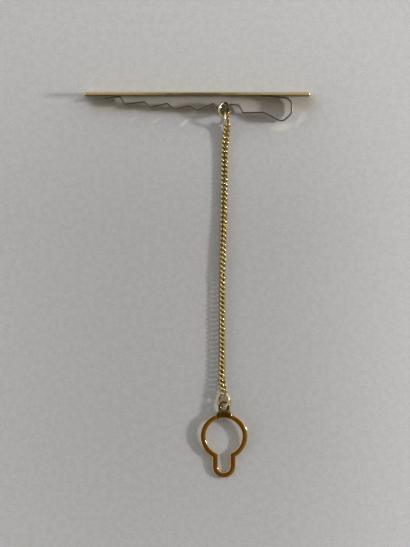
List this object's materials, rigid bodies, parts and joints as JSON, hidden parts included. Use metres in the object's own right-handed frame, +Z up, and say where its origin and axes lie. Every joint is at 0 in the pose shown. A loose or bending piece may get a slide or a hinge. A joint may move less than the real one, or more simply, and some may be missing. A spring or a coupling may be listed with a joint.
{
  "type": "tie clip with chain and button loop",
  "caption": "Flat polished tie bar with a saw-toothed spring clip behind it, a fine curb safety chain on jump rings, and a keyhole-shaped loop that hooks over a shirt button.",
  "frame": {"origin": "middle of the whole object's footprint, on the surface that it lies on", "axes": "+Z up from the surface, +X along the bar toward the spring's closed end, +Y toward the bar's front face, away from the chain"},
  "size_m": [0.06, 0.1024, 0.005],
  "materials": {
    "gold_bar": "polished gold plate",
    "spring_steel": "bright white-metal spring, slightly worn",
    "gold_wire": "polished gold-plated wire",
    "gold_chain": "polished gold-plated wire",
    "gold_loop": "polished gold plate"
  },
  "bodies": {
    "root": {"bar": "gold_bar", "spring_clip": "spring_steel", "upper_jump_ring": "gold_wire", "middle_jump_ring": "gold_wire", "chain": "gold_chain", "lower_jump_ring": "gold_wire", "button_loop": "gold_loop"}
  },
  "joints": []
}
